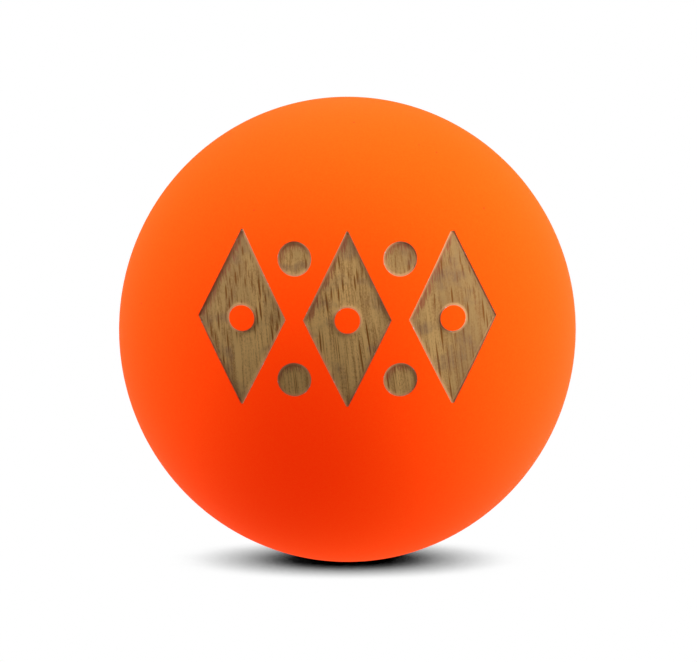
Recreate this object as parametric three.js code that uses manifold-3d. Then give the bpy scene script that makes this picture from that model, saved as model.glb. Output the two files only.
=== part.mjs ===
// Petanque jack: a ball turned from one piece of hardwood, with a white undercoat and a fluorescent orange coat.
// A frieze of lozenges and dots is engraved through both coats into the wood on the front.
// Millimetres. The origin is the ball's centre, +Z runs up along the grain and the engraved front faces -Y.

import * as THREE from "three";
import { mergeVertices, toCreasedNormals } from "three/addons/utils/BufferGeometryUtils.js";
import Module from "manifold-3d";

// The finished ball. It has shrunk a little more across the grain than along it.
const BALL_WIDTH = 29.8;
const BALL_HEIGHT = 30.35;

// The paint, from the outside in, and the hairline between one layer and the next.
const ORANGE_THICKNESS = 0.04;
const UNDERCOAT_THICKNESS = 0.03;
const BOND_GAP = 0.01;

// The engraving's depth below the wood's own surface, how far the orange is burnt back from the undercoat,
// and the width of the engraver's spot, which leaves a lozenge's upper and lower tips that blunt.
const ENGRAVING_DEPTH = 0.03;
const PALE_RIM = 0.06;
const SPOT_WIDTH = 0.12;

// The frieze: upright lozenges in a row, a round island of paint in each, and a dot over and under each gap.
const LOZENGE_COUNT = 3;
const LOZENGE_WIDTH = 5.4;
const LOZENGE_HEIGHT = 10.8;
const ISLAND_DIAMETER = 1.7;
const DOT_DIAMETER = 2;
const PAINT_BRIDGE = 1.2;
const FRIEZE_RISE = 2.2;

// How finely the ball and the round outlines are divided, and the angle past which two facets make an edge.
// An odd ball detail puts a corner of the mesh on each axis, which gives the ball its full width and height.
const BALL_DETAIL = 9;
const CIRCLE_POINTS = 32;
const CREASE_ANGLE = THREE.MathUtils.degToRad(40);

// How far an engraving cutter stands out in front of the ball.
const CUTTER_OVERRUN = 1;

const wasm = await Module();
wasm.setup();

const materials = {
  wood: new THREE.MeshStandardMaterial({ color: 0xa8845a, roughness: 0.8, metalness: 0 }),
  undercoat: new THREE.MeshStandardMaterial({ color: 0xe9e2d6, roughness: 0.7, metalness: 0 }),
  orange: new THREE.MeshStandardMaterial({ color: 0xff6a14, roughness: 0.55, metalness: 0 }),
};

// A closed geometry as a solid that can be cut and joined.
function solidOf(geometry) {
  geometry.deleteAttribute("normal");
  geometry.deleteAttribute("uv");
  const merged = mergeVertices(geometry);
  return new wasm.Manifold(
    new wasm.Mesh({
      numProp: 3,
      vertProperties: new Float32Array(merged.attributes.position.array),
      triVerts: new Uint32Array(merged.index.array),
    }),
  );
}

// A named mesh of a solid.
function meshOf(name, solid, material) {
  const { vertProperties, triVerts } = solid.getMesh();
  const geometry = new THREE.BufferGeometry();
  geometry.setAttribute("position", new THREE.BufferAttribute(vertProperties, 3));
  geometry.setIndex(new THREE.BufferAttribute(triVerts, 1));
  const mesh = new THREE.Mesh(toCreasedNormals(geometry, CREASE_ANGLE), material);
  mesh.name = name;
  return mesh;
}

const unionOf = (solids) => solids.reduce((joined, next) => joined.add(next));

// The ball's surface at a depth below the finished outside. All layers have like facets, so they never cross.
function ballAt(depth) {
  const geometry = new THREE.IcosahedronGeometry(1, BALL_DETAIL);
  const across = BALL_WIDTH / 2 - depth;
  const along = BALL_HEIGHT / 2 - depth;
  return solidOf(geometry.scale(across, across, along));
}

// The depths at which the layers start and end.
const orangeInside = ORANGE_THICKNESS;
const undercoatOutside = orangeInside + BOND_GAP;
const undercoatInside = undercoatOutside + UNDERCOAT_THICKNESS;
const woodOutside = undercoatInside + BOND_GAP;
const engravedFloor = woodOutside + ENGRAVING_DEPTH;

// Places in the frieze, as (x, z) on the front.
const pitch = LOZENGE_WIDTH + PAINT_BRIDGE;
const lozengeCentres = Array.from(
  { length: LOZENGE_COUNT },
  (_, i) => new THREE.Vector2((i - (LOZENGE_COUNT - 1) / 2) * pitch, FRIEZE_RISE),
);

// The unit normal of a lozenge's upper right edge, and that edge's distance from the lozenge's centre.
const edgeNormal = new THREE.Vector2(LOZENGE_HEIGHT, LOZENGE_WIDTH).normalize();
const edgeReach = (edgeNormal.x * LOZENGE_WIDTH) / 2;

// A dot keeps the paint bridge to the two lozenges beside it.
const dotReach = edgeReach + PAINT_BRIDGE + DOT_DIAMETER / 2;
const dotRise = (dotReach - (edgeNormal.x * pitch) / 2) / edgeNormal.y;
const dotCentres = lozengeCentres
  .slice(1)
  .flatMap(({ x, y }) => [1, -1].map((side) => new THREE.Vector2(x - pitch / 2, y + side * dotRise)));

// A cutter of some outline, straight back from in front of the ball to its middle.
// ExtrudeGeometry divides a full circle into twice as many points as the segments that it is given.
function cutter(outline) {
  const depth = BALL_WIDTH / 2 + CUTTER_OVERRUN;
  const curveSegments = CIRCLE_POINTS / 2;
  const geometry = new THREE.ExtrudeGeometry(outline, { depth, curveSegments, bevelEnabled: false });
  return solidOf(geometry.rotateX(Math.PI / 2));
}

// A lozenge with each edge moved out by a margin.
function lozengeCutter(centre, margin) {
  const halfWidth = (edgeReach + margin) / edgeNormal.x;
  const halfHeight = (edgeReach + margin) / edgeNormal.y;
  const halfTip = SPOT_WIDTH / 2;
  const tipHeight = halfHeight * (1 - halfTip / halfWidth);
  const corners = [
    [halfWidth, 0],
    [halfTip, tipHeight],
    [-halfTip, tipHeight],
    [-halfWidth, 0],
    [-halfTip, -tipHeight],
    [halfTip, -tipHeight],
  ];
  return cutter(new THREE.Shape(corners.map(([x, z]) => new THREE.Vector2(centre.x + x, centre.y + z))));
}

// A round outline. It starts half a step round, so that no point of it lies straight above or below its centre.
function roundCutter(centre, radius) {
  const start = Math.PI / CIRCLE_POINTS;
  return cutter(new THREE.Shape().absarc(centre.x, centre.y, radius, start, start + 2 * Math.PI));
}

// All the lozenges and dots, with each edge moved out by a margin.
function friezeCutter(margin) {
  return unionOf([
    ...lozengeCentres.map((centre) => lozengeCutter(centre, margin)),
    ...dotCentres.map((centre) => roundCutter(centre, DOT_DIAMETER / 2 + margin)),
  ]);
}

// The islands that stand in the lozenges, with each edge moved out by a margin.
function islandCutters(margin) {
  return lozengeCentres.map((centre) => roundCutter(centre, ISLAND_DIAMETER / 2 + margin));
}

// A layer of paint: a shell open at the frieze, and a flake on each island.
function paintLayer(name, outside, inside, burntBack, material) {
  const shell = ballAt(outside).subtract(ballAt(inside));
  const coat = meshOf(name, shell.subtract(friezeCutter(burntBack)), material);
  const flakes = islandCutters(-burntBack).map((island, i) =>
    meshOf(`${name}_island_${i + 1}`, shell.intersect(island), material),
  );
  const layer = new THREE.Group();
  layer.add(coat, ...flakes);
  return layer;
}

// The turned ball, engraved to one depth all over the frieze but for the islands.
function woodBall() {
  const outlines = friezeCutter(0).subtract(unionOf(islandCutters(0)));
  const engraving = outlines.subtract(ballAt(engravedFloor));
  return meshOf("wood_ball", ballAt(woodOutside).subtract(engraving), materials.wood);
}

const jack = new THREE.Group();
jack.name = "petanque_jack";
jack.add(
  woodBall(),
  paintLayer("undercoat", undercoatOutside, undercoatInside, 0, materials.undercoat),
  paintLayer("orange_coat", 0, orangeInside, PALE_RIM, materials.orange),
);

export default jack;
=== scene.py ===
"""The finished look of a petanque jack: a turned wooden ball, painted, then engraved through its paint."""
import math

import bmesh
import bpy
from bpy.props import FloatProperty, FloatVectorProperty, IntProperty, PointerProperty
from mathutils import Euler, Matrix, Vector, noise


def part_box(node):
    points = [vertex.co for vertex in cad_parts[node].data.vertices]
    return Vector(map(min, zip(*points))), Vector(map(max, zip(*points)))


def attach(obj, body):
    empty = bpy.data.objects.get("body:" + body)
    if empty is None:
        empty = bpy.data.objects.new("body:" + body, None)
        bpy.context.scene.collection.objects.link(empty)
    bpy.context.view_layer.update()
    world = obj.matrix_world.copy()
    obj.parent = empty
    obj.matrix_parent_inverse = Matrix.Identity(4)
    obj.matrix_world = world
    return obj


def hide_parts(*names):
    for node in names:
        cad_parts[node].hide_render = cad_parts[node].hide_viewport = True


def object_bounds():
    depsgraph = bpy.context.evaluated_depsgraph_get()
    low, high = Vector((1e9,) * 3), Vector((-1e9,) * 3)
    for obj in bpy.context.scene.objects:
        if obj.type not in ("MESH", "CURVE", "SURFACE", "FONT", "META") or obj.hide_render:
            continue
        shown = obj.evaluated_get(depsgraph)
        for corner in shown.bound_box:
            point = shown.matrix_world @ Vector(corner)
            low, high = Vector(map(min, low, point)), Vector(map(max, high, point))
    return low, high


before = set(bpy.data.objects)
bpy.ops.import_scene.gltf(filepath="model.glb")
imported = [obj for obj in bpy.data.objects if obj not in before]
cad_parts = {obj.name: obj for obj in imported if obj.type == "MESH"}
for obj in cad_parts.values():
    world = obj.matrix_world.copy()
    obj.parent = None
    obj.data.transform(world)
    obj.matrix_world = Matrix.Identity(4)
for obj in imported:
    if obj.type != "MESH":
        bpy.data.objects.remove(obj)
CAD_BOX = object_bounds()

bl_info = {
    "name": "Petanque Jack",
    "version": (1, 0, 0),
    "blender": (4, 5, 0),
    "location": "View3D > Sidebar > Jack",
    "description": "Builds a painted and engraved petanque jack, and a stage to see it on",
    "category": "Object",
}

MM = 0.001

# The finished ball's half width, half depth and half height.
# The engraving takes the ball's foremost point away, so its depth is taken from its width.
BALL_RADII = Vector((CAD_BOX[1].x, CAD_BOX[1].x, CAD_BOX[1].z))

# How deep the outer faces of the undercoat and the wood lie below the orange, and the number of islands.
UNDERCOAT_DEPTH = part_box("orange_coat")[1].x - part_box("undercoat")[1].x
WOOD_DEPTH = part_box("orange_coat")[1].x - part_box("wood_ball")[1].x
ISLANDS = sum(node.startswith("undercoat_island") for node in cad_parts)


class JackSizes(bpy.types.PropertyGroup):
    """Sizes of the paint and the engraving."""

    ball_detail: IntProperty(
        name="Ball detail", description="Times that the ball's facets are divided",
        default=6, min=3, max=7,
    )
    circle_sides: IntProperty(
        name="Circle sides", description="Straight cuts round a dot or an island",
        default=40, min=12, max=96,
    )
    bond: FloatProperty(
        name="Bond", description="Hairline between two layers",
        default=0.01 * MM, unit="LENGTH", precision=6,
    )
    lozenge_width: FloatProperty(
        name="Lozenge width", description="Width of an engraved lozenge",
        default=5.4 * MM, unit="LENGTH", precision=5,
    )
    lozenge_height: FloatProperty(
        name="Lozenge height", description="Height of an engraved lozenge",
        default=10.8 * MM, unit="LENGTH", precision=5,
    )
    dot_diameter: FloatProperty(
        name="Dot diameter", description="Width of an engraved dot",
        default=2 * MM, unit="LENGTH", precision=5,
    )
    pale_rim: FloatProperty(
        name="Pale rim", description="Undercoat that shows along each edge of the orange",
        default=0.06 * MM, unit="LENGTH", precision=6,
    )
    spot_width: FloatProperty(
        name="Spot width", description="Width of the engraver's spot, and of a lozenge's blunt tips",
        default=0.12 * MM, unit="LENGTH", precision=6,
    )
    heat_band: FloatProperty(
        name="Heat band", description="Width of the orange that is browned along a cut",
        default=0.07 * MM, unit="LENGTH", precision=6,
    )
    engraving_depth: FloatProperty(
        name="Engraving depth", description="Depth of the engraving below the wood's own surface",
        default=0.03 * MM, unit="LENGTH", precision=6,
    )
    wall_run: FloatProperty(
        name="Wall run", description="Width of the engraving's sloping wall",
        default=0.2 * MM, unit="LENGTH", precision=6,
    )
    floor_cuts: IntProperty(
        name="Floor cuts", description="Further divisions of the facets in the engraving",
        default=3, min=1, max=5,
    )
    fibre_relief: FloatProperty(
        name="Fibre relief", description="Height of the grain's ridges on the engraved floor",
        default=0.012 * MM, unit="LENGTH", precision=6,
    )
    grain_lean: FloatProperty(
        name="Grain lean", description="Angle of the grain from upright, top to the left",
        default=math.radians(6), unit="ROTATION",
    )
    grain_pitch: FloatProperty(
        name="Grain pitch", description="Angle of the grain from upright, top to the front",
        default=math.radians(8), unit="ROTATION",
    )
    # The smoke's way also sets which edges, the upper ones, are darkened with painted shade as well as
    # scorch.
    smoke_drift: FloatProperty(
        name="Smoke drift", description="Angle of the engraver's draught from upright, to the left",
        default=math.radians(25), unit="ROTATION",
    )


class JackColours(bpy.types.PropertyGroup):
    """Colours of the paint and the wood."""

    orange: FloatVectorProperty(
        name="Orange", description="The lighter grains of the orange paint",
        default=(0.93, 0.158, 0.0055), subtype="COLOR", min=0, max=1,
    )
    deep_orange: FloatVectorProperty(
        name="Deep orange", description="The darker grains of the orange paint",
        default=(0.93, 0.119, 0.0022), subtype="COLOR", min=0, max=1,
    )
    # Painted glow: a steady red light that stands in for the pigment's fluorescence, as strong in shade as
    # in light.
    painted_fluorescent_glow: FloatVectorProperty(
        name="Orange glow", description="Light that the fluorescent pigment adds",
        default=(0.64, 0.0, 0.0), subtype="COLOR", min=0, max=1,
    )
    browned_orange: FloatVectorProperty(
        name="Browned orange", description="Orange paint along a cut",
        default=(0.62, 0.045, 0.012), subtype="COLOR", min=0, max=1,
    )
    undercoat: FloatVectorProperty(
        name="Undercoat", description="The white ground where it is clean",
        default=(0.82, 0.76, 0.67), subtype="COLOR", min=0, max=1,
    )
    smoked_undercoat: FloatVectorProperty(
        name="Smoked undercoat", description="The white ground along a cut",
        default=(0.82, 0.44, 0.22), subtype="COLOR", min=0, max=1,
    )
    # Sapwood and heartwood are laid across the front partly as painted light, paler in its middle.
    sapwood: FloatVectorProperty(
        name="Sapwood", description="The pale outer wood",
        default=(0.865, 0.523, 0.185), subtype="COLOR", min=0, max=1,
    )
    heartwood: FloatVectorProperty(
        name="Heartwood", description="The darker inner wood",
        default=(0.507, 0.303, 0.109), subtype="COLOR", min=0, max=1,
    )
    late_fibre: FloatVectorProperty(
        name="Late fibre", description="The darker fibres",
        default=(0.38, 0.172, 0.048), subtype="COLOR", min=0, max=1,
    )
    vessel: FloatVectorProperty(
        name="Vessel", description="The open vessels",
        default=(0.27, 0.085, 0.006), subtype="COLOR", min=0, max=1,
    )
    # Paler wood on the walls: partly the cut's own colour, partly painted light that lifts the shade on
    # them.
    fresh_cut_and_painted_light: FloatVectorProperty(
        name="Fresh cut", description="Wood on the engraving's sloping walls",
        default=(0.92, 0.5, 0.22), subtype="COLOR", min=0, max=1,
    )
    soot: FloatVectorProperty(
        name="Soot", description="Wood where the engraver's smoke settled",
        default=(0.23, 0.118, 0.078), subtype="COLOR", min=0, max=1,
    )
    # Scorch, which the fringe along the upper edges also uses as painted shade.
    scorch_and_shade: FloatVectorProperty(
        name="Scorch", description="Wood burnt along the engraving's wall",
        default=(0.42, 0.1, 0.05), subtype="COLOR", min=0, max=1,
    )


class JackStage(bpy.types.PropertyGroup):
    """The camera and the light."""

    camera_elevation: FloatProperty(
        name="Elevation", description="Angle of the view above level",
        default=math.radians(6.5), unit="ROTATION",
    )
    camera_distance: FloatProperty(
        name="Distance", description="From the lens to the ball's middle",
        default=0.3, unit="LENGTH",
    )
    ball_pixels: FloatProperty(
        name="Ball width", description="Width of the ball in the picture, in pixels",
        default=456.9, subtype="PIXEL",
    )
    softbox_distance: FloatProperty(
        name="Softbox distance", description="From a softbox to the ball's middle",
        default=0.4, unit="LENGTH",
    )
    sweep_behind: FloatProperty(
        name="Sweep behind", description="Brightness of the floor behind the ball",
        default=1.89, min=0,
    )
    sweep_right: FloatProperty(
        name="Sweep right", description="Brightness that the floor on the right adds",
        default=0.54, min=0,
    )
    sweep: FloatProperty(
        name="Sweep", description="Brightness of all the floor, seen from the ball",
        default=0.113, min=0,
    )
    fill: FloatProperty(
        name="Fill", description="Even light from all round",
        default=0.027, min=0,
    )


class Lozenge:
    """An upright lozenge of the frieze, with blunt tips."""

    def __init__(self, centre, width, height, tip):
        self.centre = centre
        self.normal = Vector((height, width)).normalized()
        self.reach = self.normal.x * width / 2
        self.tip = tip

    def inset(self, point):
        """How far inside the edge a point lies. It is below 0 outside."""
        away = point - self.centre
        from_side = self.reach - self.normal.x * abs(away.x) - self.normal.y * abs(away.y)
        from_tip = (self.reach - self.normal.x * self.tip / 2) / self.normal.y - abs(away.y)
        return min(from_side, from_tip)

    def corners(self, margin):
        """The corners, with each edge moved out by a margin."""
        half_width = (self.reach + margin) / self.normal.x
        half_height = (self.reach + margin) / self.normal.y
        half_tip = self.tip / 2
        rise = half_height * (1 - half_tip / half_width)
        ways = (
            (half_width, 0), (half_tip, rise), (-half_tip, rise),
            (-half_width, 0), (-half_tip, -rise), (half_tip, -rise),
        )
        return [self.centre + Vector(way) for way in ways]


class Disc:
    """A round dot, or an island in a lozenge."""

    def __init__(self, centre, diameter, sides):
        self.centre = centre
        self.radius = diameter / 2
        self.sides = sides

    def inset(self, point):
        """How far inside the edge a point lies. It is below 0 outside."""
        return self.radius - (point - self.centre).length

    def corners(self, margin):
        """The corners of the many-sided cut, with its edge moved out by a margin."""
        radius = (self.radius + margin) / math.cos(math.pi / self.sides)
        turns = [2 * math.pi * i / self.sides for i in range(self.sides)]
        return [self.centre + radius * Vector((math.cos(turn), math.sin(turn))) for turn in turns]


# How far up and down the smoke's way the distance to an outline is compared.
SMOKE_SPREAD = 0.4 * MM


class Frieze:
    """The lozenges, dots and islands, in x and z on the ball's front."""

    def __init__(self, sizes):
        boxes = [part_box(f"undercoat_island_{i + 1}") for i in range(ISLANDS)]
        middles = [((low + high) / 2).xz for low, high in boxes]
        self.islands = [
            Disc(middle, high.x - low.x, sizes.circle_sides)
            for middle, (low, high) in zip(middles, boxes)
        ]
        shape = (sizes.lozenge_width, sizes.lozenge_height, sizes.spot_width)
        self.lozenges = [Lozenge(middle, *shape) for middle in middles]
        self.dots = [
            Disc(place, sizes.dot_diameter, sizes.circle_sides)
            for left, right in zip(self.lozenges, self.lozenges[1:])
            for place in self.dot_places(left, right, sizes.dot_diameter)
        ]
        self.cells = self.lozenges + self.dots

    @staticmethod
    def dot_places(left, right, diameter):
        """The middles of the dots above and below a gap, as far from both lozenges as they are apart."""
        half_pitch = (right.centre.x - left.centre.x) / 2
        bridge = 2 * (half_pitch - left.reach / left.normal.x)
        rise = (left.reach + bridge + diameter / 2 - left.normal.x * half_pitch) / left.normal.y
        middle = (left.centre + right.centre) / 2
        return [middle + Vector((0, side * rise)) for side in (1, -1)]

    def cell_inset(self, point):
        """How far inside a lozenge or a dot a point lies."""
        return max(cell.inset(point) for cell in self.cells)

    def island_inset(self, point):
        """How far inside an island a point lies."""
        return max(island.inset(point) for island in self.islands)

    def bare_inset(self, point):
        """How far inside the engraved part a point lies, with the islands standing in it."""
        return min(self.cell_inset(point), -self.island_inset(point))

    def smoked(self, point, drift):
        """1 where smoke drifts straight on to the nearest outline, and 0 where it drifts along or away.
        These upper edges are also given painted shade.
        """
        step = SMOKE_SPREAD * Vector((-math.sin(drift), math.cos(drift)))
        rise = self.cell_inset(point + step) - self.cell_inset(point - step)
        return max(-rise / (2 * SMOKE_SPREAD), 0)


def grain_turn(sizes):
    """The turn that brings the grain upright."""
    return Euler((-sizes.grain_pitch, sizes.grain_lean, 0))


def radii_at(depth):
    """The ball's half width, half depth and half height at a depth below its finished face."""
    return BALL_RADII - Vector((depth, depth, depth))


def outward(point, radii):
    """The direction straight out of the ball at a point on it."""
    return Vector(p / r**2 for p, r in zip(point, radii)).normalized()


def ball(depth, detail):
    """A bmesh ball at a depth below the finished face."""
    bm = bmesh.new()
    bmesh.ops.create_icosphere(bm, subdivisions=detail, radius=1)
    bmesh.ops.scale(bm, vec=radii_at(depth), verts=bm.verts)
    return bm


def shadow_box(points):
    """The least and greatest x and z of some points."""
    xs = [point.x for point in points]
    zs = [point.y for point in points]
    return min(xs), max(xs), min(zs), max(zs)


def under(face, bounds):
    """True if a face on the front reaches into bounds of x and z."""
    left, right, low, high = bounds
    corners = [vert.co for vert in face.verts]
    if any(co.y > 0 for co in corners):
        return False
    if max(co.x for co in corners) < left or min(co.x for co in corners) > right:
        return False
    return max(co.z for co in corners) >= low and min(co.z for co in corners) <= high


# How near a cut a corner counts as lying on it.
SNAP = 0.001 * MM


def score(bm, corners):
    """Cuts the front along an outline that is given by its corners, straight back into the ball."""
    area = shadow_box(corners)
    near = [face for face in bm.faces if under(face, area)]
    for start, end in zip(corners, corners[1:] + corners[:1]):
        strip = shadow_box((start, end))
        crossed = [face for face in near if under(face, strip)]
        edges = {edge for face in crossed for edge in face.edges}
        verts = {vert for face in crossed for vert in face.verts}
        along = end - start
        cut = bmesh.ops.bisect_plane(
            bm,
            geom=[*crossed, *edges, *verts],
            dist=SNAP,
            plane_co=(start.x, 0, start.y),
            plane_no=Vector((along.y, 0, -along.x)).normalized(),
        )
        left_alone = set(near) - set(crossed)
        near = [*left_alone, *(item for item in cut["geom"] if isinstance(item, bmesh.types.BMFace))]


def keep_faces(bm, wanted):
    """Deletes all faces but those whose middle is wanted."""
    unwanted = [face for face in bm.faces if not wanted(face.calc_center_median())]
    bmesh.ops.delete(bm, geom=unwanted, context="FACES")


def straight_back(point, radii):
    """The place on a smaller ball straight behind a point on the front."""
    across = (point.x / radii.x) ** 2 + (point.z / radii.z) ** 2
    return Vector((point.x, -radii.y * math.sqrt(1 - across), point.z))


def smooth_step(low, high, value):
    """0 below low, 1 above high, and a smooth rise between them."""
    share = min(max((value - low) / (high - low), 0), 1)
    return share * share * (3 - 2 * share)


# Where a film's two faces stop lying straight behind each other, as shares of the ball's half width.
FRONT_PATCH = (0.74, 0.9)


def sunk(point, depth, thickness):
    """Where a point of a film's outer face lies on its inner face."""
    outer = radii_at(depth)
    inner = radii_at(depth + thickness)
    inwards = Vector(p * i / o for p, i, o in zip(point, inner, outer))
    spread = point.xz.length / outer.x
    if point.y > 0 or spread > FRONT_PATCH[1]:
        return inwards
    return straight_back(point, inner).lerp(inwards, smooth_step(*FRONT_PATCH, spread))


def thicken(bm, depth, thickness):
    """Gives an open skin its thickness, with its cut edges in the second material."""
    skin = list(bm.faces)
    whole = [*skin, *bm.edges, *bm.verts]
    made = bmesh.ops.extrude_face_region(bm, geom=whole, use_keep_orig=True)["geom"]
    lining = {item for item in made if isinstance(item, bmesh.types.BMFace)}
    for vert in (item for item in made if isinstance(item, bmesh.types.BMVert)):
        vert.co = sunk(vert.co, depth, thickness)
    for face in set(bm.faces) - lining - set(skin):
        face.material_index = 1
    bmesh.ops.recalc_face_normals(bm, faces=bm.faces)


def as_piece(bm, name, materials, node):
    """A finished object that stands for a solid of the frame."""
    mesh = bpy.data.meshes.new(name)
    bm.to_mesh(mesh)
    bm.free()
    mesh.shade_smooth()
    for material in materials:
        mesh.materials.append(material)
    piece = bpy.data.objects.new(name, mesh)
    bpy.context.scene.collection.objects.link(piece)
    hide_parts(node)
    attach(piece, "root")
    return piece


def true_normals(piece, radii):
    """Shades a film's two faces as the true ball. Its cut edges keep their own normals, given as zeros."""
    mesh = piece.data
    normals = [Vector()] * len(mesh.loops)
    for polygon in mesh.polygons:
        if polygon.material_index:
            continue
        side = math.copysign(1, polygon.normal.dot(polygon.center))
        for loop in polygon.loop_indices:
            normals[loop] = side * outward(mesh.vertices[mesh.loops[loop].vertex_index].co, radii)
    mesh.normals_split_custom_set(normals)


# What a vertex keeps as its distance into the engraving, in millimetres, where it isn't on the front.
NOT_ENGRAVED = -1


def store(bm, name, measure, elsewhere):
    """Keeps a measure of each vertex on the front, for the materials to read. Others keep one number."""
    layer = bm.verts.layers.float.new(name)
    for vert in bm.verts:
        vert[layer] = measure(vert.co.xz) if vert.co.y < 0 else elsewhere


def film(sizes, names, depth, thickness, burnt_back, heat_band, materials):
    """A coat of paint that is open at the frieze, and a flake of it on each island."""
    frieze = Frieze(sizes)
    skin = ball(depth, sizes.ball_detail)
    for margin in sorted({burnt_back, burnt_back + heat_band}):
        for cell in frieze.cells:
            score(skin, cell.corners(margin))
        for island in frieze.islands:
            score(skin, island.corners(-margin))

    def warmth(point):
        """1 at a cut edge and 0 past the browned band."""
        painted = max(-frieze.cell_inset(point), frieze.island_inset(point)) - burnt_back
        return 1 - min(max(painted / heat_band, 0), 1)

    if heat_band:
        store(skin, "heat", warmth, 0)
    coat, *flakes = names
    pieces = [(coat, lambda co: co.y > 0 or frieze.cell_inset(co.xz) < -burnt_back)]
    for name, island in zip(flakes, frieze.islands):
        pieces.append((name, lambda co, island=island: co.y < 0 and island.inset(co.xz) > burnt_back))
    for name, wanted in pieces:
        bm = skin.copy()
        keep_faces(bm, wanted)
        thicken(bm, depth, thickness)
        piece = as_piece(bm, f"painted_{name}", materials, name)
        true_normals(piece, radii_at(depth))
    skin.free()


def film_names(coat):
    """The solids of a coat of paint: the coat itself and its flakes on the islands."""
    return [coat, *(f"{coat}_island_{i + 1}" for i in range(ISLANDS))]


class JACK_OT_orange_coat(bpy.types.Operator):
    """Paint the ball orange, all but the frieze"""

    bl_idname = "jack.orange_coat"
    bl_label = "Orange Coat"
    bl_options = {"REGISTER", "UNDO"}

    def execute(self, context):
        sizes = context.scene.jack_sizes
        colours = context.scene.jack_colours
        materials = [orange_paint(colours), browned_and_painted_light_edge(colours)]
        thickness = UNDERCOAT_DEPTH - sizes.bond
        names = film_names("orange_coat")
        film(sizes, names, 0, thickness, sizes.pale_rim, sizes.heat_band, materials)
        return {"FINISHED"}


class JACK_OT_undercoat(bpy.types.Operator):
    """Lay the white ground under the orange"""

    bl_idname = "jack.undercoat"
    bl_label = "Undercoat"
    bl_options = {"REGISTER", "UNDO"}

    def execute(self, context):
        sizes = context.scene.jack_sizes
        paint = white_ground(context.scene.jack_colours)
        thickness = WOOD_DEPTH - UNDERCOAT_DEPTH - sizes.bond
        names = film_names("undercoat")
        film(sizes, names, UNDERCOAT_DEPTH, thickness, 0, 0, [paint, paint])
        return {"FINISHED"}


# The grain's ridges on the engraved floor, in two sizes. Each has its height as a share of the relief,
# and how many there are to a millimetre across the grain and along it.
RIDGES = ((1.0, 2.6, 0.2), (0.6, 5.2, 0.55))


class JACK_OT_wood_ball(bpy.types.Operator):
    """Turn the wooden ball and engrave the frieze into it"""

    bl_idname = "jack.wood_ball"
    bl_label = "Wood Ball"
    bl_options = {"REGISTER", "UNDO"}

    def execute(self, context):
        sizes = context.scene.jack_sizes
        frieze = Frieze(sizes)
        bm = ball(WOOD_DEPTH, sizes.ball_detail)
        self.refine(bm, frieze, sizes)
        for inset in (0, sizes.wall_run):
            for cell in frieze.cells:
                score(bm, cell.corners(-inset))
            for island in frieze.islands:
                score(bm, island.corners(inset))
        store(bm, "edge_gap", lambda point: frieze.bare_inset(point) / MM, NOT_ENGRAVED)
        store(bm, "outline_gap", lambda point: frieze.cell_inset(point) / MM, NOT_ENGRAVED)
        # Which edges face the smoke: the upper ones, darkened with scorch and painted shade.
        store(bm, "smoke", lambda point: frieze.smoked(point, sizes.smoke_drift), 0)
        self.engrave(bm, frieze, sizes)
        as_piece(bm, "turned_wood_ball", [engraved_wood(context)], "wood_ball")
        return {"FINISHED"}

    @staticmethod
    def refine(bm, frieze, sizes):
        """Divides the facets under the frieze and puts the new points on the ball."""
        radii = radii_at(WOOD_DEPTH)
        corners = [corner for cell in frieze.cells for corner in cell.corners(sizes.wall_run)]
        area = shadow_box(corners)
        edges = {edge for face in bm.faces if under(face, area) for edge in face.edges}
        bmesh.ops.subdivide_edges(bm, edges=list(edges), cuts=sizes.floor_cuts, use_grid_fill=True)
        for vert in bm.verts:
            unit = Vector(p / r for p, r in zip(vert.co, radii)).normalized()
            vert.co = Vector(u * r for u, r in zip(unit, radii))

    @staticmethod
    def engrave(bm, frieze, sizes):
        """Sinks the engraved floor, with the grain's ridges standing up from it."""
        radii = radii_at(WOOD_DEPTH)
        upright = grain_turn(sizes).to_matrix()
        for vert in (vert for vert in bm.verts if vert.co.y < 0):
            inset = frieze.bare_inset(vert.co.xz)
            if inset <= SNAP:
                continue
            grain = upright @ vert.co / MM
            ridge = sum(
                height * noise.noise(Vector((across * grain.x, across * grain.y, along * grain.z)))
                for height, across, along in RIDGES
            )
            share = min(inset / sizes.wall_run, 1)
            sink = share * (sizes.engraving_depth - sizes.fibre_relief * ridge)
            vert.co -= sink * outward(vert.co, radii)


class Field:
    """A value or colour of a material's nodes. Arithmetic on values adds Math nodes."""

    def __init__(self, finish, socket):
        self.finish = finish
        self.socket = socket

    def __add__(self, other):
        return self.finish.maths("ADD", self, other)

    def __radd__(self, other):
        return self.finish.maths("ADD", other, self)

    def __sub__(self, other):
        return self.finish.maths("SUBTRACT", self, other)

    def __rsub__(self, other):
        return self.finish.maths("SUBTRACT", other, self)

    def __mul__(self, other):
        return self.finish.maths("MULTIPLY", self, other)

    def __rmul__(self, other):
        return self.finish.maths("MULTIPLY", other, self)

    def ramp(self, low, high):
        """0 below low, 1 above high, and a smooth rise between them. It falls where low is above high."""
        settings = {"interpolation_type": "SMOOTHSTEP"}
        if low < high:
            sockets = {"Value": self, "From Min": low, "From Max": high}
        else:
            sockets = {"Value": self, "From Min": high, "From Max": low, "To Min": 1.0, "To Max": 0.0}
        return self.finish.add("ShaderNodeMapRange", settings, sockets)


# A Mix node has sockets of the same names for each kind of value. These are the ones for colours.
MIX_FACTOR = 0
MIX_FIRST = 6
MIX_SECOND = 7
MIX_RESULT = 2


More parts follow.
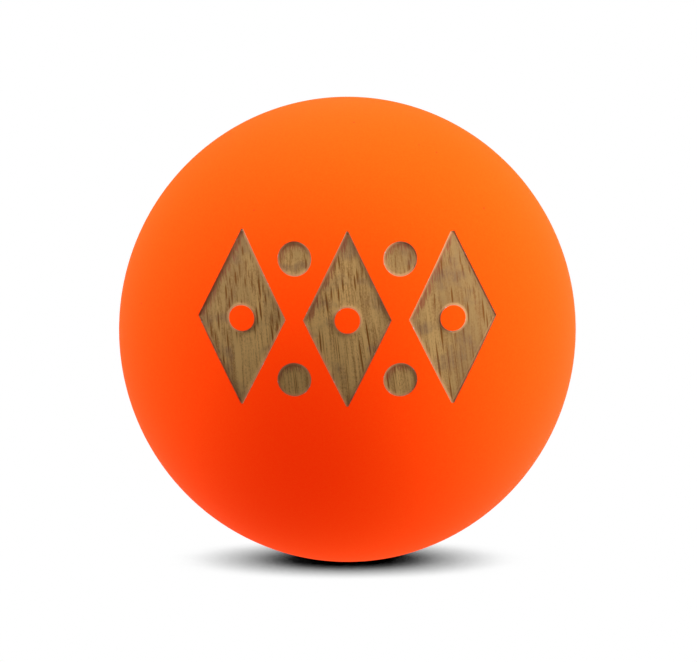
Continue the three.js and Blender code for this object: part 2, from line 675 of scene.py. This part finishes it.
class Finish:
    """A node tree that is built up by adding nodes."""

    def __init__(self, tree):
        self.tree = tree
        tree.nodes.clear()

    @classmethod
    def of_material(cls, name):
        """The empty node tree of a new material."""
        material = bpy.data.materials.new(name)
        material.use_nodes = True
        finish = cls(material.node_tree)
        finish.material = material
        return finish

    def add(self, kind, settings=None, sockets=None, output=0):
        """Adds a node with some settings, fills its sockets with values or links, and gives an output."""
        node = self.tree.nodes.new(kind)
        for name, value in (settings or {}).items():
            setattr(node, name, value)
        for name, value in (sockets or {}).items():
            if isinstance(value, Field):
                self.tree.links.new(value.socket, node.inputs[name])
            else:
                node.inputs[name].default_value = value
        return Field(self, node.outputs[output]) if node.outputs else None

    def maths(self, operation, *values, clamp=False):
        """Arithmetic on values."""
        settings = {"operation": operation, "use_clamp": clamp}
        return self.add("ShaderNodeMath", settings, dict(enumerate(values)))

    def vectors(self, operation, *values, output=0):
        """Arithmetic on vectors."""
        settings = {"operation": operation}
        return self.add("ShaderNodeVectorMath", settings, dict(enumerate(values)), output)

    def mix(self, factor, first, second):
        """A colour between two colours."""
        sockets = {MIX_FACTOR: factor, MIX_FIRST: opaque(first), MIX_SECOND: opaque(second)}
        return self.add("ShaderNodeMix", {"data_type": "RGBA"}, sockets, MIX_RESULT)

    def place(self, per_mm=(1, 1, 1), turn=(0, 0, 0)):
        """Object coordinates, turned, with so many units to a millimetre along each axis."""
        metres = self.add("ShaderNodeTexCoord", output="Object")
        turned = self.add("ShaderNodeMapping", None, {"Vector": metres, "Rotation": turn})
        scale = tuple(units / MM for units in per_mm)
        return self.add("ShaderNodeMapping", None, {"Vector": turned, "Scale": scale})

    def cloud(self, place, detail=2.0, roughness=0.5, output=0):
        """Soft noise from 0 to 1, with one blotch to each unit of place."""
        sockets = {"Vector": place, "Scale": 1.0, "Detail": detail, "Roughness": roughness}
        return self.add("ShaderNodeTexNoise", {"normalize": True}, sockets, output)

    def flecks(self, place, reach, core):
        """Spots, about one to each unit of place, that are full in their core and end at their reach."""
        sockets = {"Vector": place, "Scale": 1.0}
        return self.add("ShaderNodeTexVoronoi", {"feature": "F1"}, sockets).ramp(reach, core * reach)

    def attribute(self, name):
        """A number that the mesh keeps for each vertex."""
        return self.add("ShaderNodeAttribute", {"attribute_name": name}, output="Fac")

    def bump(self, height, strength, distance):
        """A normal that follows a height."""
        sockets = {"Strength": strength, "Distance": distance, "Height": height}
        return self.add("ShaderNodeBump", None, sockets)

    def seen(self):
        """1 for what the camera sees straight away."""
        return self.add("ShaderNodeLightPath", output="Is Camera Ray")

    def mirrored(self):
        """1 for what shows in a shine or through glass."""
        glossy = self.add("ShaderNodeLightPath", output="Is Glossy Ray")
        through = self.add("ShaderNodeLightPath", output="Is Transmission Ray")
        return self.maths("MAXIMUM", glossy, through)

    def surface(self, **sockets):
        """Ends a material in a Principled shader. Names have underscores for spaces."""
        named = {name.replace("_", " "): opaque(value) for name, value in sockets.items()}
        named = {name.replace("Ior", "IOR"): value for name, value in named.items()}
        shader = self.add("ShaderNodeBsdfPrincipled", None, named)
        self.add("ShaderNodeOutputMaterial", None, {"Surface": shader})
        return self.material


def opaque(colour):
    """A colour with its fourth number. Other values stay as they are."""
    if isinstance(colour, (Field, float, int)):
        return colour
    return (*colour, 1.0)


# The orange paint's specks of dust, mottles, grains of spray and ripples, to a millimetre each way.
SPECKS_PER_MM = 0.33
MOTTLES_PER_MM = 0.4
SPRAY_PER_MM = 8.0
RIPPLES_PER_MM = 4.0

# How far a speck reaches, as a share of the space between two, and the share of its reach that is full.
SPECK_REACH = (0.03, 0.3)

# How much a speck and the heat of a cut brown the orange, and how much of its painted glow they take away.
SPECK_BROWNING = 0.8
HEAT_BROWNING = 0.75
SPECK_DIMMING = 0.85
HEAT_DIMMING = 0.5

# How much the painted glow changes with the mottles, and how rough the ripples leave the paint.
GLOW_RANGE = 0.06
PAINT_ROUGHNESS = 0.7
RIPPLE_ROUGHNESS = 0.12


def orange_paint(colours):
    """Matt fluorescent orange, sprayed, with a few specks of dust in it. Its fluorescence is a painted
    glow that shines as much in shade as in light.
    """
    finish = Finish.of_material("fluorescent_orange_paint")
    heat = finish.attribute("heat")
    speck = finish.flecks(finish.place([SPECKS_PER_MM] * 3), *SPECK_REACH)
    mottle = finish.cloud(finish.place([MOTTLES_PER_MM] * 3), detail=3.0)
    spray = finish.cloud(finish.place([SPRAY_PER_MM] * 3), detail=1.0)
    ripple = finish.cloud(finish.place([RIPPLES_PER_MM] * 3), detail=3.0, roughness=0.6)
    orange = finish.mix(spray, colours.deep_orange, colours.orange)
    browned = finish.mix(HEAT_BROWNING * heat, orange, colours.browned_orange)
    unspoilt = (1 - SPECK_DIMMING * speck) * (1 - HEAT_DIMMING * heat)
    painted_glow_share = unspoilt * (1 - GLOW_RANGE / 2 + GLOW_RANGE * mottle)
    return finish.surface(
        Base_Color=finish.mix(SPECK_BROWNING * speck, browned, colours.browned_orange),
        Roughness=PAINT_ROUGHNESS + RIPPLE_ROUGHNESS * ripple,
        Specular_Ior_Level=0.01,
        Sheen_Weight=0.04,
        Sheen_Roughness=0.5,
        # Painted glow: this emission stands in for fluorescence and is the same whether the paint is lit
        # or in shade.
        Emission_Color=finish.mix(painted_glow_share, (0, 0, 0), colours.painted_fluorescent_glow),
        Emission_Strength=1.0,
        Normal=finish.bump(ripple, strength=0.12, distance=0.01 * MM),
    )


# The grit on a cut edge and on the ground beside it, to a millimetre each way,
# and how strong the grit is where the edge or the ground turns paler.
EDGE_GRIT_PER_MM = 9.0
# The edge's pale share is partly painted light that lifts the shade along the cut.
PALE_EDGE = (0.25, 0.6)
GROUND_GRIT_PER_MM = 4.0
CLEAN_GROUND = (0.6, 0.7)


def browned_and_painted_light_edge(colours):
    """The cut edge of the orange, browned in spots and as pale as the smoked ground elsewhere. The
    paleness is partly painted light along the cut.
    """
    finish = Finish.of_material("browned_orange_and_painted_light_edge")
    grit = finish.cloud(finish.place([EDGE_GRIT_PER_MM] * 3))
    # Paler edge: partly painted light that lifts the shade the orange casts on the pale rim beside it.
    colour = finish.mix(grit.ramp(*PALE_EDGE), colours.browned_orange, colours.smoked_undercoat)
    return finish.surface(Base_Color=colour, Roughness=0.7, Specular_Ior_Level=0.2)


def white_ground(colours):
    """Matt white paint, smoked where it shows along a cut, with some clean spots."""
    finish = Finish.of_material("white_undercoat")
    grit = finish.cloud(finish.place([GROUND_GRIT_PER_MM] * 3), detail=3.0)
    colour = finish.mix(grit.ramp(*CLEAN_GROUND), colours.smoked_undercoat, colours.undercoat)
    return finish.surface(Base_Color=colour, Roughness=0.75, Specular_Ior_Level=0.2)


# The fibres' bends to a millimetre along each axis, and their swing across the front in millimetres.
BENDS_PER_MM = (0.2, 0.2, 0.1)
BEND_SWING = 0.7


def grain_places(finish, turn):
    """A function that gives places along the grain."""
    upright = finish.place(turn=turn)
    bends = finish.vectors("MULTIPLY", upright, BENDS_PER_MM)
    bends = finish.cloud(bends, detail=1.0, output="Color")
    wavy = finish.vectors("MULTIPLY_ADD", bends, (BEND_SWING, 0, 0), upright)

    def along_grain(width, length, depth):
        """Places in units of a width across the front, a length along the grain and a depth behind it."""
        return finish.vectors("MULTIPLY", wavy, (1 / width, 1 / depth, 1 / length))

    return along_grain


# The tree's pith, in x and y, how far from it the heartwood turns to sapwood,
# and the width over which streaks move that turn, in millimetres. They are set so that the wood is paler
# in the front's middle and darker towards its right: painted light that evens out the stage's light.
PITH = (3.5, 30)
SAPWOOD_AND_PAINTED_LIGHT = (42.6, 45.3)
STREAK_SHIFT = 3.0

# How far apart the grain's marks are across the front, along the grain and behind it, in millimetres.
STREAKS = (1.0, 9.0, 2.0)
FIBRES = (0.14, 8.0, 0.9)
SPECKLES = (0.09, 0.14, 0.5)
SHORT_VESSELS = (0.24, 9.0, 0.9)
SHORT_VESSEL_BREAKS = (0.5, 4.0, 1.5)
LONG_VESSELS = (0.34, 13.0, 1.5)
HAIRLINES = (0.16, 14.0, 0.7)
RAGGED_FIBRES = (0.07, 3.0, 0.6)

# How far a vessel reaches, as a share of the space between two, and the share of its reach that is full.
SHORT_VESSEL_REACH = (0.34, 0.45)
LONG_VESSEL_REACH = (0.24, 0.5)
HAIRLINE_REACH = (0.32, 0.3)

# The fibres' part in the wood's texture, beside the speckles, and where that texture turns dark.
FIBRE_SHARE = 0.6
LATE_FIBRE = (0.58, 0.29)

# How strong the noise is where a short vessel isn't broken.
UNBROKEN = (0.12, 0.45)

# How much vessels show, how much hairlines show beside them, and how far both sink into the texture.
VESSEL_STRENGTH = 0.92
HAIRLINE_STRENGTH = 0.65
VESSEL_HOLLOW = 0.6


def plain_wood(finish, colours, along_grain):
    """The colour, fibres and height of hardwood that nothing has burnt. Its tone is laid out partly as
    painted light.
    """
    streak = finish.cloud(along_grain(*STREAKS), detail=3.0)
    fibre = finish.cloud(along_grain(*FIBRES), roughness=0.6)
    speckle = finish.cloud(along_grain(*SPECKLES), roughness=0.7)
    age = finish.vectors("DISTANCE", finish.place((1, 1, 0)), (*PITH, 0), output="Value")
    # Painted light: sapwood falls in the front's middle and heartwood towards its right, to even out the
    # light.
    sapwood = (age + STREAK_SHIFT * (streak - 0.5)).ramp(*SAPWOOD_AND_PAINTED_LIGHT)
    wood = finish.mix(sapwood, colours.heartwood, colours.sapwood)
    texture = FIBRE_SHARE * fibre + (1 - FIBRE_SHARE) * speckle
    wood = finish.mix(texture.ramp(*LATE_FIBRE), wood, colours.late_fibre)
    unbroken = finish.cloud(along_grain(*SHORT_VESSEL_BREAKS)).ramp(*UNBROKEN)
    short = unbroken * finish.flecks(along_grain(*SHORT_VESSELS), *SHORT_VESSEL_REACH)
    long = finish.flecks(along_grain(*LONG_VESSELS), *LONG_VESSEL_REACH)
    hairlines = HAIRLINE_STRENGTH * finish.flecks(along_grain(*HAIRLINES), *HAIRLINE_REACH)
    vessels = finish.maths("MAXIMUM", finish.maths("MAXIMUM", short, long), hairlines)
    wood = finish.mix(VESSEL_STRENGTH * vessels, wood, colours.vessel)
    return wood, fibre, texture - VESSEL_HOLLOW * vessels


# Smudges of smoke, to a millimetre along each axis.
SMUDGES_PER_MM = (0.5, 0.5, 0.7)

# Where a smudge, a ragged fibre and the smoke's scorching, with its painted shade, each go from nothing to
# full.
SMUDGED = (0.5, 0.7)
RAGGED = (0.42, 0.62)
SMOKY = (0.05, 0.6)

# How far from an edge the fresh cut, the scorched fringe and the haze start and end, in millimetres,
# and how far a ragged fibre carries the fringe. The fresh cut's pale walls are partly painted light,
# and the fringe is partly painted shade.
FRESH_CUT_AND_LIGHT_BAND = (0.14, 0.04)
FRINGE_START = (0.0, 0.1)
FRINGE_END = (0.2, 0.02)
FRINGE_RAG = 0.35
HAZE_BAND = (0.55, 0.05)

# How much each mark shows. Ragged fibres double a smudge and make most of the haze.
# The fringe's strength covers both its scorch and its painted shade.
FRESH_CUT_AND_LIGHT_STRENGTH = 0.65
SMUDGE_STRENGTH = 0.3
FRINGE_SCORCH_AND_SHADE_STRENGTH = 0.65
HAZE_STRENGTH = 0.06
HAZE_RAG = 0.6


def burnt_wood(finish, colours, along_grain, wood):
    """The colour of engraved wood: pale walls, partly painted light, smudges, and edges scorched where the
    smoke met them, with painted shade there too.
    """
    gap = finish.attribute("edge_gap")
    outline = finish.attribute("outline_gap")
    ragged = finish.cloud(along_grain(*RAGGED_FIBRES), detail=1.0).ramp(*RAGGED)
    smudge = finish.cloud(finish.place(SMUDGES_PER_MM), detail=3.0).ramp(*SMUDGED)
    # The fringe darkens the upper edges: partly scorch, partly painted shade of walls that face down.
    fringe_scorch_and_shade = outline.ramp(*FRINGE_START) * (outline - FRINGE_RAG * ragged).ramp(*FRINGE_END)
    fringe_scorch_and_shade = fringe_scorch_and_shade * finish.attribute("smoke").ramp(*SMOKY)
    haze = gap.ramp(*HAZE_BAND) * (1 - HAZE_RAG + HAZE_RAG * ragged)
    # Paler walls: partly the fresh cut's own colour, partly painted light that lifts their shade.
    wood = finish.mix(FRESH_CUT_AND_LIGHT_STRENGTH * gap.ramp(*FRESH_CUT_AND_LIGHT_BAND), wood, colours.fresh_cut_and_painted_light)
    wood = finish.mix(SMUDGE_STRENGTH * smudge * (1 + ragged), wood, colours.soot)
    return finish.mix(HAZE_STRENGTH * haze + FRINGE_SCORCH_AND_SHADE_STRENGTH * fringe_scorch_and_shade, wood, colours.scorch_and_shade)


# How rough the wood is, and how much rougher its fibres leave it.
WOOD_ROUGHNESS = 0.7
FIBRE_ROUGHNESS = 0.15


def engraved_wood(context):
    """Bare hardwood with its grain upright, as the engraver left it."""
    colours = context.scene.jack_colours
    finish = Finish.of_material("engraved_hardwood")
    along_grain = grain_places(finish, grain_turn(context.scene.jack_sizes))
    wood, fibre, height = plain_wood(finish, colours, along_grain)
    return finish.surface(
        Base_Color=burnt_wood(finish, colours, along_grain, wood),
        Roughness=WOOD_ROUGHNESS + FIBRE_ROUGHNESS * fibre,
        Specular_Ior_Level=0.25,
        Normal=finish.bump(height, strength=0.35, distance=0.02 * MM),
    )


# How open the floor is where the ball's shadow is darkest and where it ends,
# how near the ball has to be to shade it, in metres, and the number of rays that look for it.
SHADOW_OPENNESS = (0.085, 0.355)
SHADOW_REACH = 0.1
SHADOW_SAMPLES = 32

# The power of the rise from the darkest to the end. Below 1, the light comes back sooner.
SHADOW_RISE = 0.88

# How much the light that makes the shadow leans, for each metre to the ball's side and in front of it.
# It leans in at the sides and out in front, so that the shadow is wider than it is deep.
SHADOW_LEAN = (36, 14)

# Where the floor's own light comes in, in metres behind the ball's middle and to the right of it.
LIT_BEHIND = (-0.02, 0.04)
LIT_RIGHT = (-0.01, 0.03)


def floor_paper(stage):
    """White paper that keeps the ball's shadow, and throws light up behind the ball and to its right."""
    finish = Finish.of_material("floor_paper")
    metres = finish.add("ShaderNodeTexCoord", output="Object")
    across = finish.add("ShaderNodeSeparateXYZ", None, {0: metres}, output="X")
    back = finish.add("ShaderNodeSeparateXYZ", None, {0: metres}, output="Y")
    leaning = {"X": -SHADOW_LEAN[0] * across, "Y": SHADOW_LEAN[1] * back, "Z": 1.0}
    skyward = finish.vectors("NORMALIZE", finish.add("ShaderNodeCombineXYZ", None, leaning))
    sockets = {"Distance": SHADOW_REACH, "Normal": skyward}
    openness = finish.add("ShaderNodeAmbientOcclusion", {"samples": SHADOW_SAMPLES}, sockets, output="AO")
    darkest, end = SHADOW_OPENNESS
    lit = finish.maths("DIVIDE", openness - darkest, end - darkest, clamp=True)
    lit = finish.maths("POWER", lit, SHADOW_RISE)
    thrown = stage.sweep_behind * back.ramp(*LIT_BEHIND) + stage.sweep_right * across.ramp(*LIT_RIGHT)
    sight = finish.seen() + finish.mirrored()
    level = sight * lit + (1 - sight) * (thrown + stage.sweep)
    paper = finish.add("ShaderNodeEmission", None, {"Strength": level})
    finish.add("ShaderNodeOutputMaterial", None, {"Surface": paper})
    return finish.material


# The floor's radius, in metres, and the number of its sides.
FLOOR_RADIUS = 1.5
FLOOR_SIDES = 96

# How far back a direction points where the surround turns white in a shine.
WHITE_BEHIND = (-0.2, 0.4)

# Each softbox's name, its angles round the ball to the camera's right and above level, in degrees,
# its width in metres, and its level.
SOFTBOXES = (
    ("top_softbox", 180, 80, 0.3, 0.7),
    ("right_softbox", 79, 34, 0.3, 1.0),
    ("left_softbox", -90, 30, 0.3, 0.745),
)

# The picture's size and the place of the ball's middle in it, in pixels.
PICTURE = Vector((697, 662))
BALL_IN_PICTURE = Vector((347.4, 329.3))

# The width of the camera's sensor, in millimetres, and how near the camera sees, in metres.
SENSOR_WIDTH = 36
CLIP_START = 0.01


class JACK_OT_stage(bpy.types.Operator):
    """Set the floor, the surround, the softboxes and the camera"""

    bl_idname = "jack.stage"
    bl_label = "Stage"
    bl_options = {"REGISTER", "UNDO"}

    def execute(self, context):
        stage = context.scene.jack_stage
        self.floor(stage)
        self.surround(context.scene, stage.fill)
        for softbox in SOFTBOXES:
            self.softbox(stage.softbox_distance, *softbox)
        self.camera(context.scene, stage)
        context.scene.view_settings.view_transform = "Standard"
        return {"FINISHED"}

    @staticmethod
    def floor(stage):
        """A wide white floor that the ball rests on."""
        bm = bmesh.new()
        bmesh.ops.create_circle(bm, cap_ends=True, segments=FLOOR_SIDES, radius=FLOOR_RADIUS)
        bmesh.ops.translate(bm, vec=(0, 0, CAD_BOX[0].z), verts=bm.verts)
        mesh = bpy.data.meshes.new("floor")
        bm.to_mesh(mesh)
        bm.free()
        mesh.materials.append(floor_paper(stage))
        floor = bpy.data.objects.new("floor", mesh)
        bpy.context.scene.collection.objects.link(floor)

    @staticmethod
    def surround(scene, level):
        """White to the eye all round, with no more than a little light of its own."""
        world = bpy.data.worlds.new("surround")
        world.use_nodes = True
        scene.world = world
        finish = Finish(world.node_tree)
        direction = finish.add("ShaderNodeTexCoord", output="Generated")
        back = finish.add("ShaderNodeSeparateXYZ", None, {0: direction}, output="Y")
        white = finish.seen() + finish.mirrored() * back.ramp(*WHITE_BEHIND)
        strength = finish.maths("MAXIMUM", white, level)
        background = finish.add("ShaderNodeBackground", None, {"Strength": strength})
        finish.add("ShaderNodeOutputWorld", None, {"Surface": background})

    @staticmethod
    def softbox(distance, name, azimuth, elevation, size, level):
        """A square lamp that faces the ball. Alone, it shows a white card that faces it at its level."""
        round_ball = Matrix.Rotation(math.radians(azimuth), 3, "Z")
        way = round_ball @ Matrix.Rotation(-math.radians(elevation), 3, "X")
        lamp = bpy.data.lights.new(name, "AREA")
        lamp.size = size
        lamp.energy = level * (math.pi * distance) ** 2
        place = distance * (way @ Vector((0, -1, 0)))
        box = bpy.data.objects.new(name, lamp)
        box.matrix_world = Matrix.Translation(place) @ place.to_track_quat("Z", "Y").to_matrix().to_4x4()
        bpy.context.scene.collection.objects.link(box)

    @staticmethod
    def camera(scene, stage):
        """A long lens that sees the ball where and as large as the picture has it."""
        tilt = Matrix.Rotation(math.pi / 2 - stage.camera_elevation, 3, "X")
        half_angle = math.asin(BALL_RADII.x / stage.camera_distance)
        focal_pixels = stage.ball_pixels / 2 / math.tan(half_angle)
        metres_per_pixel = stage.camera_distance / focal_pixels
        offset = (PICTURE / 2 - BALL_IN_PICTURE) * metres_per_pixel
        lens = bpy.data.cameras.new("camera")
        lens.lens = focal_pixels * SENSOR_WIDTH / PICTURE.x
        lens.sensor_width = SENSOR_WIDTH
        lens.clip_start = CLIP_START
        camera = bpy.data.objects.new("camera", lens)
        place = tilt @ Vector((offset.x, -offset.y, stage.camera_distance))
        camera.matrix_world = Matrix.Translation(place) @ tilt.to_4x4()
        scene.collection.objects.link(camera)
        scene.camera = camera


class JACK_PT_panel(bpy.types.Panel):
    """The jack's sizes, colours and pieces"""

    bl_idname = "JACK_PT_panel"
    bl_label = "Petanque Jack"
    bl_space_type = "VIEW_3D"
    bl_region_type = "UI"
    bl_category = "Jack"

    def draw(self, context):
        for operator in OPERATORS:
            self.layout.operator(operator.bl_idname)
        for title, group in (
            ("Sizes", context.scene.jack_sizes),
            ("Colours", context.scene.jack_colours),
            ("Stage", context.scene.jack_stage),
        ):
            box = self.layout.box()
            box.label(text=title)
            for name in group.__annotations__:
                box.prop(group, name)


OPERATORS = (JACK_OT_wood_ball, JACK_OT_undercoat, JACK_OT_orange_coat, JACK_OT_stage)
CLASSES = (JackSizes, JackColours, JackStage, *OPERATORS, JACK_PT_panel)


def register():
    for made in CLASSES:
        bpy.utils.register_class(made)
    bpy.types.Scene.jack_sizes = PointerProperty(type=JackSizes)
    bpy.types.Scene.jack_colours = PointerProperty(type=JackColours)
    bpy.types.Scene.jack_stage = PointerProperty(type=JackStage)


def unregister():
    del bpy.types.Scene.jack_stage
    del bpy.types.Scene.jack_colours
    del bpy.types.Scene.jack_sizes
    for made in reversed(CLASSES):
        bpy.utils.unregister_class(made)


def main():
    register()
    bpy.ops.jack.wood_ball()
    bpy.ops.jack.undercoat()
    bpy.ops.jack.orange_coat()
    bpy.ops.jack.stage()


if __name__ == "__main__":
    main()
